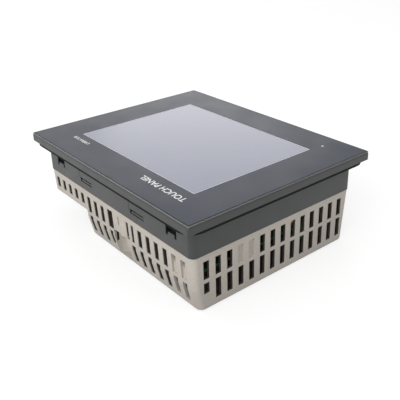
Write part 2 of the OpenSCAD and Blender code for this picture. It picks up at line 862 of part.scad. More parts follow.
module top_wall_vents() {
    top = depth - 29.5;
    low = depth - 40.9;
    // short slots over the shallow side, tall slots beside them
    for (i = [0:4]) y_vent(top_vent_x(i), vent_w - 0.1, depth - 37, top, 1);
    for (i = [5, 6, 7, 12, 13, 14, 15]) y_vent(top_vent_x(i), vent_w - 0.1, low, top, 1);
    // slots round the screw well
    y_vent(3.6, 5.8, low - 0.2, top + 0.9, 1);
    y_vent(-15.3, 2.5, low, top + 0.5, 1);
    y_vent(-20.6, 2.6, low, top + 0.5, 1);
    // lower row on the slope
    for (i = [5, 6, 7, 11, 12, 13, 14, 15, 16, 17])
        y_vent(top_vent_x(i) - 0.3, vent_w - 0.3, 4.6, depth - 43.1, 1);
    y_vent(top_vent_x(8) - 0.1, 3.4, 6.6, depth - 43.1, 1);
    // closed slots
    for (i = [16, 17])
        translate([top_vent_x(i) - vent_w / 2, top_y(depth - 36) - blind_depth, low - 0.3])
            cube([vent_w, 5, top - low + 0.3]);
    translate([-6.4, top_y(depth - 33) - blind_depth + 0.2, depth - 35.4]) cube([1.4, 5, 5.9]);
}

module left_wall_vents() {
    for (i = [0:13]) {
        y = (6.5 - i) * vent_pitch;
        closed = i == 3 || i == 4;
        if (closed)
            translate([-cover_half_w - cut, y - vent_w / 2, depth - 40.4])
                cube([cut + blind_depth, vent_w, 11.3]);
        else x_vent(y, vent_w, depth - 40.4, depth - 29.1, -1);
        x_vent(y, vent_w, i == 0 ? depth - 49.3 : depth - 54.9, depth - 42.5, -1);
    }
}

// Vents on the right wall of the shallow side and over the connector bay
module other_vents() {
    for (i = [1:12]) x_vent((6.5 - i) * vent_pitch, vent_w, depth - 37.5, depth - 30, 1);
    for (i = [1:16])
        if (abs(8.5 - i) > 1) y_vent((8.5 - i) * vent_pitch, vent_w, depth - 37.5, depth - 30, -1);
}

// Pocket of the card door with its opening and the notch for a fingertip
module door_pocket() {
    mid = (door_y[0] + door_y[1]) / 2;
    span([step_x - 2, door_y[0], 1.2], [step_x + cut, door_y[1], door_z[1] + 0.3]);
    span([hinge_x - knuckle_r - 0.4, door_y[0], 1.2], [step_x, door_y[1], hinge_z + 1.8]);
    span([step_x - 6, door_y[0] + 4, 5.6], [step_x, door_y[1] - 3, door_z[1] - 0.6]);
    span([step_x - 1.2, mid - 5, door_z[1]], [step_x + cut, mid + 5, door_z[1] + 1.2]);
}

// Openings for the connectors in the bay's back wall
module bay_holes() {
    y = [bay_y - cut, bay_y + bay_wall + cut];
    g = 0.3;
    top = interface_z + g;
    span([power_x[0] - g, y[0], power_z[0] - g], [power_x[1] + g, y[1], top]);
    span([serial_x - 9.4, y[0], serial_z - 4.9], [serial_x + 9.4, y[1], top]);
    for (x = [serial_jack_x, network_jack_x])
        span([x - g, y[0], interface_z - jack_size[2] - g], [x + jack_size[0] + g, y[1], top]);
}

module rear_cover() {
    w = cover_wall;
    color(cover_beige) difference() {
        union() {
            difference() {
                union() {
                    cover_outside(cover_half_w, shallow_z);
                    cover_outside(step_x, 0);
                }
                difference() {
                    union() {
                        cover_inside(cover_half_w, shallow_z);
                        cover_inside(step_x, 0);
                    }
                    // walls of the connector bay
                    span([bay_x[0] - bay_wall, -70, 0], [bay_x[1] + bay_wall, bay_y + bay_wall,
                        bay_top_z + bay_wall]);
                    // thick wall round the door pocket
                    span([step_x - 4.6, door_y[0] - 4, 0], [step_x, door_y[1] + 4, door_z[1] + 1.6]);
                    // columns of the screws
                    for (p = cover_screw_places)
                        translate([p[0], p[1], 0]) cylinder(r = 4, h = parting_z);
                    // shell of the pocket
                    translate([well_pos[0], well_pos[1], 0])
                        cylinder(r = well_r + well_wall, h = lug_z + well_wall);
                }
            }
            // lug over the pocket and lip inside the skirt
            translate([lug_pos[0], lug_pos[1], lug_z]) cylinder(r = lug_r, h = 7.5);
            difference() {
                union() {
                    translate([0, 0, parting_z - 2])
                        rounded_plate(housing_w - 2 * w + 1, housing_h - 2 * w + 1, housing_r - w, 2);
                    translate([0, 0, parting_z - eps])
                        rounded_plate(housing_w - 2 * skirt_wall - 0.4, housing_h - 2 * skirt_wall - 0.4,
                            housing_r - skirt_wall, 3);
                }
                translate([0, 0, parting_z - 3])
                    rounded_plate(housing_w - 2 * skirt_wall - 3.2, housing_h - 2 * skirt_wall - 3.2, 1.4, 7);
                for (p = cover_screw_places)
                    translate([p[0], p[1], parting_z]) cylinder(r = boss_r + 0.3, h = 4);
            }
        }
        // connector bay
        span([bay_x[0], -70, -cut], [bay_x[1], bay_y, bay_top_z]);
        bay_holes();
        door_pocket();
        rod_y([hinge_x, door_y[0] - 3, hinge_z], pin_r, door_y[1] - door_y[0] + 6);
        // ports in the step wall
        span([step_x - w - cut, usb_host_y - 7, interface_z - 6.2], [step_x + cut, usb_host_y + 7,
            interface_z + 0.4]);
        span([step_x - w - cut, usb_device_y - 4.3, interface_z - 4.4],
            [step_x + cut, usb_device_y + 4.3, interface_z + 0.4]);
        // pocket under the lug with the slot in its side, hole of the lug, and screw holes
        translate([well_pos[0], well_pos[1], well_floor]) cylinder(r = well_r, h = lug_z - well_floor);
        translate([lug_pos[0], lug_pos[1], lug_z - cut]) cylinder(r = lug_hole_r, h = lug_hole_h + cut);
        span([well_pos[0] + 4, 57.1, 9.8], [well_pos[0] + 10, 58.9, 17.2]);
        for (p = cover_screw_places) translate([p[0], p[1], 0]) {
            translate([0, 0, -cut]) cylinder(r = m3_clear_r, h = parting_z + 2 * cut);
            translate([0, 0, -cut]) cylinder(r = head_r + 0.3, h = p[2] + cut);
        }
        top_wall_vents();
        left_wall_vents();
        other_vents();
        // recess of the rating plate
        translate([plate_pos[0], plate_pos[1], -cut])
            rounded_plate(plate_size[0] + 0.4, plate_size[1] + 0.4, 1.5, cut + plate_t + 0.1);
    }
}

module cover_screws() {
    color("#c9ccce")
        for (p = cover_screw_places) screw_up(p, cover_screw_length, 0.8);
}

module rating_plate() {
    color("#d9d9d6") translate([plate_pos[0], plate_pos[1], 0.1])
        rounded_plate(plate_size[0], plate_size[1], 1.3, plate_t);
}

// ---------------------------------------------------------------- assembly

front_bezel();
front_sheet();
touch_film();
touch_glass();
touch_tail();
touch_foam();
lcd_frame();
lcd_glass();
lcd_backlight();
lcd_flex();
lamp_lens();
lamp_led();
panel_gasket();
chassis_plate();
chassis_screws();
board_spacers();
main_board();
board_screws();
processor();
heat_sink();
memory_chips();
main_capacitors();
battery_holder();
backup_battery();
touch_connector();
lcd_connector();
board_link();
board_posts();
post_screws();
interface_board();
power_transformer();
power_capacitors();
power_socket();
power_pins();
power_plug();
terminal_screws();
serial_shell();
serial_insulator();
serial_pins();
serial_nuts();
serial_jack();
serial_jack_contacts();
network_jack();
network_jack_contacts();
network_lamps();
usb_host_port();
usb_host_tongue();
usb_device_port();
usb_device_tongue();
card_socket();
memory_card();
mode_switch();
mode_slider_1();
mode_slider_2();
card_door();
door_pin();
rear_cover();
cover_screws();
rating_plate();
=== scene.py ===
import json
import math
import random

import bmesh
import bpy
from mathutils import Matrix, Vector


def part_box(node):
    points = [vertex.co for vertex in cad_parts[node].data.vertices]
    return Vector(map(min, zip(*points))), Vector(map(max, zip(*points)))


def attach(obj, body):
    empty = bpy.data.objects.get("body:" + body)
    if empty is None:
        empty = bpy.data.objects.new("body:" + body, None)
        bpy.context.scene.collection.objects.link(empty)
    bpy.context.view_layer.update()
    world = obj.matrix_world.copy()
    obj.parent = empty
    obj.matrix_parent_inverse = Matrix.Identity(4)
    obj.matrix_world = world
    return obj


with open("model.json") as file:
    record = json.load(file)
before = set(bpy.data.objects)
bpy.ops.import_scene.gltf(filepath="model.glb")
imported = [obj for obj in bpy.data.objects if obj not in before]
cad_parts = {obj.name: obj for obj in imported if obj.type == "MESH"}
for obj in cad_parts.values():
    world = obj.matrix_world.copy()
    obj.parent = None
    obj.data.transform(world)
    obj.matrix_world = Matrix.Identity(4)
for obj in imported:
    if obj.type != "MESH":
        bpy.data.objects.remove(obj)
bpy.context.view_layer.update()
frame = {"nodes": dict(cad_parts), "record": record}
scene = bpy.context.scene
nodes = frame["nodes"]
MM = 0.001

# ---------------------------------------------------------------- shader helpers

# cosine between a softened normal and the flat one where the brightened edge, partly worn and partly painted
# highlight, starts, and where it is full
EDGE_WEAR_AND_HIGHLIGHT = (0.985, 0.86)


class Shader:
    """One node-based material: a Principled surface whose colour, roughness and bump come from noise."""

    def __init__(self, name, metallic=0.0, **fixed):
        self.mat = bpy.data.materials.new(name)
        self.mat.use_nodes = True
        self.tree = self.mat.node_tree
        self.bsdf = next(n for n in self.tree.nodes if n.type == "BSDF_PRINCIPLED")
        self.bsdf.inputs["Metallic"].default_value = metallic
        for key, value in fixed.items():
            self.bsdf.inputs[key.replace("_", " ")].default_value = value
        self.coord = self.add("ShaderNodeTexCoord").outputs["Object"]
        self.round_normal = None

    def add(self, kind, **props):
        node = self.tree.nodes.new(kind)
        for key, value in props.items():
            setattr(node, key, value)
        return node

    def link(self, a, b):
        self.tree.links.new(a, b)

    def stretched(self, scale):
        """Object coordinates, scaled along each axis, in metres."""
        node = self.add("ShaderNodeMapping")
        node.inputs["Scale"].default_value = scale
        self.link(self.coord, node.inputs["Vector"])
        return node.outputs["Vector"]

    def noise(self, scale, detail=2.0, rough=0.5, coord=None):
        node = self.add("ShaderNodeTexNoise")
        node.inputs["Scale"].default_value = scale
        node.inputs["Detail"].default_value = detail
        node.inputs["Roughness"].default_value = rough
        self.link(coord or self.coord, node.inputs["Vector"])
        return node.outputs["Fac"]

    def ramp(self, fac, stops):
        node = self.add("ShaderNodeValToRGB")
        elements = node.color_ramp.elements
        while len(elements) < len(stops):
            elements.new(0.5)
        for e, (at, colour) in zip(elements, stops):
            e.position = at
            e.color = (*colour, 1.0)
        self.link(fac, node.inputs["Fac"])
        return node.outputs["Color"]

    def remap(self, fac, low, high, src=(0.3, 0.7)):
        node = self.add("ShaderNodeMapRange")
        node.inputs["From Min"].default_value = src[0]
        node.inputs["From Max"].default_value = src[1]
        node.inputs["To Min"].default_value = low
        node.inputs["To Max"].default_value = high
        self.link(fac, node.inputs["Value"])
        return node.outputs["Result"]

    def mix(self, fac, a, b, blend="MIX"):
        node = self.add("ShaderNodeMix", data_type="RGBA", blend_type=blend)
        for socket, value in ((0, fac), (6, a), (7, b)):
            if hasattr(value, "is_linked"):
                self.link(value, node.inputs[socket])
            elif socket == 0:
                node.inputs[0].default_value = value
            else:
                node.inputs[socket].default_value = (*value, 1.0)
        return node.outputs[2]

    def colour(self, socket):
        self.link(socket, self.bsdf.inputs["Base Color"])

    def maths(self, operation, a, b):
        node = self.add("ShaderNodeMath", operation=operation)
        for socket, value in zip(node.inputs, (a, b)):
            if hasattr(value, "is_linked"):
                self.link(value, socket)
            else:
                socket.default_value = value
        return node.outputs[0]

    def rough(self, socket):
        self.link(socket, self.bsdf.inputs["Roughness"])

    def edges(self, radius, above=None):
        """Softens the edges' shading over radius, in millimetres.

        Gives a mask that is 1 on an edge higher than above, in millimetres, and 0 on a flat face; it marks
        where edges are tinted brighter, partly as wear and partly as painted highlight.
        """
        bevel = self.add("ShaderNodeBevel", samples=6)
        bevel.inputs["Radius"].default_value = radius * MM
        self.round_normal = bevel.outputs["Normal"]
        flat = self.add("ShaderNodeNewGeometry").outputs["True Normal"]
        dot = self.add("ShaderNodeVectorMath", operation="DOT_PRODUCT")
        self.link(self.round_normal, dot.inputs[0])
        self.link(flat, dot.inputs[1])
        mask = self.remap(dot.outputs["Value"], 0.0, 1.0, EDGE_WEAR_AND_HIGHLIGHT)
        if above is None:
            return mask
        split = self.add("ShaderNodeSeparateXYZ")
        self.link(self.coord, split.inputs[0])
        fade = (above * MM, (above + 0.5) * MM)
        return self.maths("MULTIPLY", mask, self.remap(split.outputs[2], 0.0, 1.0, fade))

    def bump(self, height, depth):
        node = self.add("ShaderNodeBump")
        node.inputs["Strength"].default_value = 1.0
        node.inputs["Distance"].default_value = depth
        self.link(height, node.inputs["Height"])
        if self.round_normal is not None:
            self.link(self.round_normal, node.inputs["Normal"])
        self.link(node.outputs["Normal"], self.bsdf.inputs["Normal"])


def tint(colour, k):
    return tuple(min(1.0, c * k) for c in colour)


def grey(k):
    return (k, k, k)


def mottled(s, colour, mottle, grain):
    """Colour socket of a moulded face, cloudy by mottle and specked by its grain, and the grain itself."""
    cloud = s.noise(38.0, 4.0, 0.6)
    base = s.ramp(cloud, [(0.25, tint(colour, 1 - mottle)), (0.75, tint(colour, 1 + mottle))])
    fine = s.noise(grain, 3.0, 0.55)
    speck = s.ramp(fine, [(0.3, grey(0.88)), (0.62, grey(1.0))])
    return s.mix(1.0, base, speck, "MULTIPLY"), fine


def moulded(name, colour, grain, depth, rough, mottle, edge=0.0, above=None, **fixed):
    """Moulded plastic: spark-eroded grain, faint cloudy colour, uneven gloss and edges tinted brighter,
    partly as wear and partly as painted highlight.
    """
    s = Shader(name, **fixed)
    face, fine = mottled(s, colour, mottle, grain)
    gloss = s.remap(s.noise(90.0, 5.0), *rough)
    if edge:
        # partly wear and partly painted highlight: the edges are tinted much brighter than the face
        wear_and_highlight = s.edges(edge, above)
        face = s.mix(wear_and_highlight, face, tint(colour, 1.7))
        gloss = s.maths("SUBTRACT", gloss, s.maths("MULTIPLY", wear_and_highlight, 0.18))
    s.colour(face)
    s.rough(gloss)
    s.bump(fine, depth * MM)
    return s.mat


def metal(name, colour, rough=(0.25, 0.4), along=(60.0, 1800.0, 1800.0)):
    """Plated or brushed metal, with the brushing along one axis and faint stains."""
    s = Shader(name, metallic=1.0)
    lines = s.noise(1.0, 3.0, 0.6, s.stretched(along))
    stain = s.noise(140.0, 5.0, 0.65)
    s.colour(s.ramp(stain, [(0.3, tint(colour, 0.82)), (0.65, colour)]))
    s.rough(s.remap(lines, *rough))
    s.bump(lines, 0.004 * MM)
    return s.mat


# ---------------------------------------------------------------- materials of the CAD nodes

BEZEL = (0.040, 0.042, 0.041)
SHEET = (0.019, 0.025, 0.043)
COVER = (0.600, 0.555, 0.495)
# painted shade colour for the cover's slot jambs and inside faces
PAINTED_JAMB_SHADE = (0.050, 0.045, 0.040)
RIM_RADIUS = 1.4

# The rear cover's outer faces, in millimetres. A wall's y is given at z = 0, with its slope as y for each z.
SIDE_X = 77.45
TOP_Y, TOP_SLOPE = 59.8, math.tan(math.radians(2.7))
LOW_TOP_Y, LOW_TOP_SLOPE = 57.25, math.tan(math.radians(12.9))
BOTTOM_Y, BOTTOM_SLOPE = 57.7, math.tan(math.radians(6.0))
STEP_X, STEP_Z = 36.0, 18.0
# How far in from the faces the painted shade of slot jambs and hollows starts, at open slots and behind blind
# ones.
OPEN_SHADE_IN, BLIND_SHADE_IN = 0.5, 1.65
# Blind slots: centre and half width along the wall, and how far the region reaches into the cover.
BLIND_TOP, BLIND_TOP_Y = ((-64.7, 7.4), (-6.4, 2.6)), 40
BLIND_SIDE, BLIND_SIDE_X, BLIND_SIDE_Z = (24.2, 7.4), -60, 18.6
# Where the rounded corners of the cover and of its deep block start.
CORNER_X, CORNER_Y = 73.5, 55.5
BLOCK_X, BLOCK_Y, BLOCK_Z = 31.5, 53.0, 20
# Openings whose walls stay beige: the connector bay, the card door's recess and the pocket under the lug.
BAY_X, BAY_Y, BAY_Z = (-67, 29), -42, 20.5
DOOR_X, DOOR_Y, DOOR_Z = 30, (-9, 49), 17.7
WELL_CENTRE, WELL_RADIUS, WELL_Z = (-6.1, 59.0), 8.1, 20.2


def sheet_material():
    """Printed polyester front sheet: dark blue-grey, satin, with a very fine matt texture."""
    s = Shader("front_sheet", Specular_IOR_Level=0.5)
    cloud = s.noise(14.0, 3.0, 0.5)
    base = s.ramp(cloud, [(0.3, tint(SHEET, 0.95)), (0.7, tint(SHEET, 1.06))])
    fine = s.noise(5200.0, 2.0, 0.5)
    s.colour(s.mix(0.25, base, s.ramp(fine, [(0.35, tint(SHEET, 0.8)), (0.65, tint(SHEET, 1.25))])))
    s.rough(s.remap(s.noise(55.0, 4.0), 0.38, 0.44))
    s.bump(fine, 0.004 * MM)
    return s.mat


def film_material():
    """Clear hard-coated film over the switched-off display: pale lavender haze with faint smudges."""
    s = Shader("touch_film", Specular_IOR_Level=0.6)
    smudge = s.noise(26.0, 4.0, 0.6, s.stretched((1.0, 0.6, 1.0)))
    tone = s.ramp(smudge, [(0.3, (0.235, 0.246, 0.314)), (0.7, (0.258, 0.268, 0.336))])
    cells = s.noise(3600.0, 1.0, 0.4)
    s.colour(s.mix(0.12, tone, s.ramp(cells, [(0.4, (0.18, 0.195, 0.25)), (0.6, (0.30, 0.305, 0.38))])))
    s.rough(s.remap(smudge, 0.22, 0.28))
    s.bump(cells, 0.002 * MM)
    return s.mat


def board_material():
    """Green solder mask with lighter tracks, plated pads and a satin gloss."""
    s = Shader("board_green", Specular_IOR_Level=0.55)
    brick = s.add("ShaderNodeTexBrick")
    brick.inputs["Scale"].default_value = 260.0
    brick.inputs["Mortar Size"].default_value = 0.035
    brick.inputs["Color1"].default_value = (0.006, 0.036, 0.018, 1)
    brick.inputs["Color2"].default_value = (0.008, 0.044, 0.022, 1)
    brick.inputs["Mortar"].default_value = (0.016, 0.085, 0.04, 1)
    s.link(s.coord, brick.inputs["Vector"])
    dots = s.add("ShaderNodeTexVoronoi")
    dots.inputs["Scale"].default_value = 420.0
    s.link(s.coord, dots.inputs["Vector"])
    pads = s.ramp(dots.outputs["Distance"], [(0.10, grey(1.0)), (0.14, grey(0.0))])
    s.colour(s.mix(pads, brick.outputs["Color"], (0.32, 0.25, 0.1)))
    s.rough(s.remap(s.noise(120.0, 4.0), 0.3, 0.42))
    s.bump(brick.outputs["Fac"], 0.02 * MM)
    return s.mat


def glass_material():
    """Display glass under the film, dark grey and nearly clean."""
    s = Shader("display_glass", Specular_IOR_Level=0.5)
    smudge = s.noise(30.0, 3.0)
    s.colour(s.ramp(smudge, [(0.3, (0.10, 0.11, 0.12)), (0.7, (0.14, 0.15, 0.165))]))
    s.rough(s.remap(smudge, 0.05, 0.12))
    return s.mat


def label_material():
    """Printed polyester label, pale, with a faint film grain."""
    s = Shader("rating_label", Specular_IOR_Level=0.5)
    grain = s.noise(900.0, 3.0)
    s.colour(s.ramp(grain, [(0.3, (0.66, 0.66, 0.64)), (0.7, (0.74, 0.74, 0.72))]))
    s.rough(s.remap(s.noise(70.0, 3.0), 0.3, 0.42))
    s.bump(grain, 0.003 * MM)
    return s.mat


def gasket_material():
    """Black closed-cell rubber with fine pores."""
    s = Shader("gasket_rubber", Specular_IOR_Level=0.2)
    pores = s.noise(1500.0, 4.0, 0.7)
    s.colour(s.ramp(pores, [(0.3, grey(0.005)), (0.7, grey(0.012))]))
    s.rough(s.remap(pores, 0.75, 0.9))
    s.bump(pores, 0.03 * MM)
    return s.mat


def cover_material():
    """Beige moulded cover. Its inside, half a wall in from the outer faces, is coloured dark as painted
    shade, which darkens the jambs of its slots and its hollows.
    """
    s = Shader("cover_beige", Specular_IOR_Level=0.25)
    beige, fine = mottled(s, COVER, 0.03, 1300.0)
    split = s.add("ShaderNodeSeparateXYZ")
    s.link(s.coord, split.inputs[0])
    x, y, z = split.outputs

    # Each of these is a signed distance, and its limits are in millimetres.

    def above(axis, limit):
        return s.maths("ADD", axis, -limit * MM)

    def below(axis, limit):
        return s.maths("SUBTRACT", limit * MM, axis)

    def outside(axis, centre, half):
        return above(s.maths("ABSOLUTE", above(axis, centre), 0.0), half)

    def inside(axis, half):
        return s.maths("MULTIPLY", outside(axis, 0, half), -1.0)

    def wall(side, slope, at):
        """Positive on the inner side of a drafted wall. side is 1 for the -Y wall and -1 for the +Y wall."""
        return above(s.maths("ADD", s.maths("MULTIPLY", y, side), s.maths("MULTIPLY", z, slope)), -at)

    def chain(operation, terms):
        out = terms[0]
        for term in terms[1:]:
            out = s.maths(operation, out, term)
        return out

    def lowest(*terms):
        return chain("MINIMUM", terms)

    def highest(*terms):
        return chain("MAXIMUM", terms)

    def shell(depth):
        """Positive further in than depth from every outer face."""
        return lowest(above(x, depth - SIDE_X), below(x, SIDE_X - depth),
                      wall(-1, TOP_SLOPE, TOP_Y - depth), wall(-1, LOW_TOP_SLOPE, LOW_TOP_Y - depth),
                      wall(1, BOTTOM_SLOPE, BOTTOM_Y - depth),
                      highest(below(x, STEP_X - depth), above(z, STEP_Z + depth)), above(z, depth))

    # each of these is negative only in its own region, where the painted shade starts deeper in, behind blind
    # slots
    blind = lowest(*(highest(outside(x, *slots), below(y, BLIND_TOP_Y)) for slots in BLIND_TOP),
                   highest(outside(y, *BLIND_SIDE), above(x, BLIND_SIDE_X), below(z, BLIND_SIDE_Z)))
    # the rounded corners lie further in than the planes of the walls
    corner = highest(inside(x, CORNER_X), inside(y, CORNER_Y))
    block = highest(below(x, BLOCK_X), inside(y, BLOCK_Y), above(z, BLOCK_Z))
    room = highest(shell(BLIND_SHADE_IN), lowest(shell(OPEN_SHADE_IN), blind, corner, block))
    bay = highest(above(x, BAY_X[1]), below(x, BAY_X[0]), above(y, BAY_Y), above(z, BAY_Z))
    door = highest(below(x, DOOR_X), above(y, DOOR_Y[1]), below(y, DOOR_Y[0]), above(z, DOOR_Z))
    flat = s.add("ShaderNodeCombineXYZ")
    s.link(x, flat.inputs[0])
    s.link(y, flat.inputs[1])
    span = s.add("ShaderNodeVectorMath", operation="DISTANCE")
    s.link(flat.outputs[0], span.inputs[0])
    span.inputs[1].default_value = (WELL_CENTRE[0] * MM, WELL_CENTRE[1] * MM, 0.0)
    well = highest(above(span.outputs["Value"], WELL_RADIUS), above(z, WELL_Z))
    # painted shade: the slot jambs and inner faces of the cover get the dark colour below
    shade_mask = s.remap(lowest(room, bay, door, well), 0.0, 1.0, (-0.1 * MM, 0.1 * MM))
    dark = s.ramp(s.noise(300.0, 3.0), [(0.3, PAINTED_JAMB_SHADE), (0.7, (0.068, 0.062, 0.055))])
    # partly wear and partly painted highlight: every edge of the cover is tinted a little brighter
    wear_and_highlight = s.edges(0.35)
    # painted shade: the beige is darkened towards the rear face that the cover rests on, where the floor's
    # shade falls
    painted_floor_shade = s.ramp(s.remap(z, 0.0, 1.0, (0.0, 28 * MM)), [(0.0, grey(0.78)), (1.0, grey(1.0))])
    beige = s.mix(1.0, s.mix(wear_and_highlight, beige, tint(COVER, 1.12)), painted_floor_shade, "MULTIPLY")
    s.colour(s.mix(shade_mask, beige, dark))
    s.rough(s.remap(s.noise(90.0, 5.0), 0.45, 0.58))
    s.bump(fine, 0.02 * MM)
    return s.mat


MATERIALS = {
    # the bezel's edges above 57 mm, round its front rim, get the brighter tint: partly wear, partly painted
    # highlight
    "bezel": moulded("bezel_grey", BEZEL, 1500.0, 0.012, (0.34, 0.44), 0.05, edge=0.5, above=57.0),
    "sheet": sheet_material(),
    "film": film_material(),
    "glass": glass_material(),
    "gasket": gasket_material(),
    "cover": cover_material(),
    "steel": metal("zinc_steel", (0.56, 0.57, 0.58)),
    "nickel": metal("nickel_plate", (0.66, 0.65, 0.63), (0.18, 0.32)),
    "aluminium": metal("extruded_aluminium", (0.5, 0.51, 0.52), (0.3, 0.45), along=(1500.0, 50.0, 1500.0)),
    "contact": metal("gold_plate", (0.75, 0.55, 0.22), (0.2, 0.35)),
    "board": board_material(),
    "chip": moulded("chip_epoxy", (0.022, 0.022, 0.024), 2600.0, 0.008, (0.5, 0.62), 0.1),
    "black_plastic": moulded("black_plastic", (0.02, 0.02, 0.022), 1800.0, 0.01, (0.36, 0.48), 0.1),
    "pale_plastic": moulded("pale_plastic", (0.68, 0.66, 0.6), 1800.0, 0.01, (0.4, 0.5), 0.04),
    "green_plastic": moulded("green_plastic", (0.028, 0.22, 0.075), 1800.0, 0.01, (0.36, 0.46), 0.06),
    "red_plastic": moulded("red_plastic", (0.42, 0.025, 0.02), 1800.0, 0.008, (0.36, 0.46), 0.06),
    "card_plastic": moulded("card_blue", (0.03, 0.055, 0.16), 2200.0, 0.006, (0.34, 0.44), 0.06),
    "sleeve": moulded("capacitor_sleeve", (0.018, 0.03, 0.085), 700.0, 0.01, (0.22, 0.32), 0.08),
    "flex": moulded("amber_film", (0.42, 0.17, 0.03), 900.0, 0.008, (0.25, 0.35), 0.08),
    "lamp": moulded("light_pipe", (0.5, 0.53, 0.46), 1200.0, 0.006, (0.12, 0.2), 0.05),
    "foam": moulded("black_foam", (0.016, 0.016, 0.017), 900.0, 0.08, (0.75, 0.9), 0.15),
    "label": label_material(),
}
slot_of = {s["node"]: s["material_slot"] for s in frame["record"]["subparts"]}
for name, obj in nodes.items():
    obj.data.materials.clear()
    obj.data.materials.append(MATERIALS[slot_of[name]])

# ---------------------------------------------------------------- piece helpers


CAP_HEIGHT = 0.7   # of a letter, as a share of the font's size
FRONT_RAISED, PRINT = 0.03, 0.04   # thickness of the print on the front and on the rating plate
BACK_RAISED = 0.02


def add_piece(name, mesh, material):
    """Piece that rides on the housing, in the material it is given."""
    obj = bpy.data.objects.new(name, mesh)
    scene.collection.objects.link(obj)
    mesh.materials.clear()
    mesh.materials.append(material)
    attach(obj, "housing")
    return obj


def mesh_piece(name, bm, material):
    """Piece made from a bmesh, with its faces turned outwards."""
    bmesh.ops.recalc_face_normals(bm, faces=bm.faces)
    mesh = bpy.data.meshes.new(name)
    bm.to_mesh(mesh)
    bm.free()
    return add_piece(name, mesh, material)


def lettering(name, text, place, height, material, spacing=1.05, extrude=FRONT_RAISED, bold=0.0, back=False):
    """Thin raised lettering, converted to a mesh. place is its centre in millimetres.

    With back, it is turned over to be read from below with +Y up.
    """
    curve = bpy.data.curves.new(name, "FONT")
    curve.body = text
    curve.size = height * MM / CAP_HEIGHT
    curve.align_x = "CENTER"
    curve.align_y = "CENTER"
    curve.space_character = spacing
    curve.extrude = extrude * MM
    curve.offset = bold * MM
    temp = bpy.data.objects.new(name + "_curve", curve)
    scene.collection.objects.link(temp)
    temp.location = Vector(place) * MM
    temp.rotation_euler = (math.pi, 0.0, math.pi) if back else (0.0, 0.0, 0.0)
    bpy.context.view_layer.update()
    mesh = bpy.data.meshes.new_from_object(temp)
    mesh.transform(temp.matrix_world)
    mesh.name = name
    bpy.data.objects.remove(temp)
    return add_piece(name, mesh, material)


def print_material(name, colour):
    """Screen-printed ink: slightly uneven edge to edge, satin."""
    s = Shader(name, Specular_IOR_Level=0.45)
    ink = s.noise(1600.0, 3.0, 0.6)
    s.colour(s.ramp(ink, [(0.28, tint(colour, 0.86)), (0.6, colour)]))
    s.rough(s.remap(ink, 0.4, 0.55))
    s.bump(ink, 0.004 * MM)
    return s.mat


WHITE_INK = print_material("white_ink", (0.82, 0.83, 0.82))
GREY_INK = print_material("grey_ink", (0.16, 0.16, 0.17))
# painted highlight: a pale ink standing in for the light line along the window's edges
WINDOW_EDGE_HIGHLIGHT = print_material("window_edge_painted_highlight", (0.72, 0.73, 0.77))

# ---------------------------------------------------------------- printing on the front

face_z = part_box("front_sheet")[1].z / MM
film_lo, film_hi = (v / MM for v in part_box("touch_film"))
lettering("legend_title", "TOUCH PANEL", (-42.0, 52.6, face_z), 4.1, WHITE_INK, spacing=1.0, bold=0.07)
lettering("legend_class", "OPERATOR", (49.5, 50.6, face_z), 2.3, WHITE_INK, spacing=1.12, bold=0.05)


def ring(name, half_in, half_out, z0, z1, material):
    """Flat rectangular frame between two half sizes, centred on the origin."""
    bm = bmesh.new()
    loops = []
    for half, z in ((half_in, z0), (half_in, z1), (half_out, z1), (half_out, z0)):
        loops.append([bm.verts.new((sx * half[0] * MM, sy * half[1] * MM, z * MM))
                      for sx, sy in ((-1, -1), (1, -1), (1, 1), (-1, 1))])
    for a, b in zip(loops, loops[1:] + loops[:1]):
        for i in range(4):
            bm.faces.new((a[i], a[(i + 1) % 4], b[(i + 1) % 4], b[i]))
    return mesh_piece(name, bm, material)


BORDER_WIDTH, BORDER_RAISED, OVERLAP = 0.43, 0.05, 0.02
film_half = [(film_hi[i] - film_lo[i]) / 2 - OVERLAP for i in (0, 1)]
# painted highlight: a pale ring round the film, standing in for the lit edges of the window
ring("window_edge_highlight_ring", [h - BORDER_WIDTH for h in film_half], film_half,
     film_hi[2] - OVERLAP, film_hi[2] + BORDER_RAISED, WINDOW_EDGE_HIGHLIGHT)


def rounded_path(half, radius):
    """Points of a rectangle with rounded corners, in millimetres, with the outward direction at each."""
    steps = 8
    points = []
    for sx, sy, start in ((1, 1, 0), (-1, 1, 90), (-1, -1, 180), (1, -1, 270)):
        for i in range(steps + 1):
            a = math.radians(start + 90 * i / steps)
            points.append((sx * (half[0] - radius) + radius * math.cos(a),
                           sy * (half[1] - radius) + radius * math.sin(a), math.cos(a), math.sin(a)))
    return points


def bead(name, half, radius, z, size, material):
    """Round bead of radius size that follows a rounded rectangle."""
    sides = 10
    turns = [2 * math.pi * k / sides for k in range(sides)]
    circle = [(size * math.cos(t), size * math.sin(t)) for t in turns]
    bm = bmesh.new()
    rings = []
    for x, y, nx, ny in rounded_path(half, radius):
        rings.append([bm.verts.new(((x + nx * out) * MM, (y + ny * out) * MM, (z + up) * MM))
                      for out, up in circle])
    for a, b in zip(rings, rings[1:] + rings[:1]):
        for k in range(sides):
            bm.faces.new((a[k], b[k], b[(k + 1) % sides], a[(k + 1) % sides]))
    for face in bm.faces:
        face.smooth = True
    return mesh_piece(name, bm, material)


# the bead's radius, and how far its centre lies in from the rim and down from the front face
BEAD, BEAD_IN, BEAD_DOWN = 0.3, 0.45, 0.4
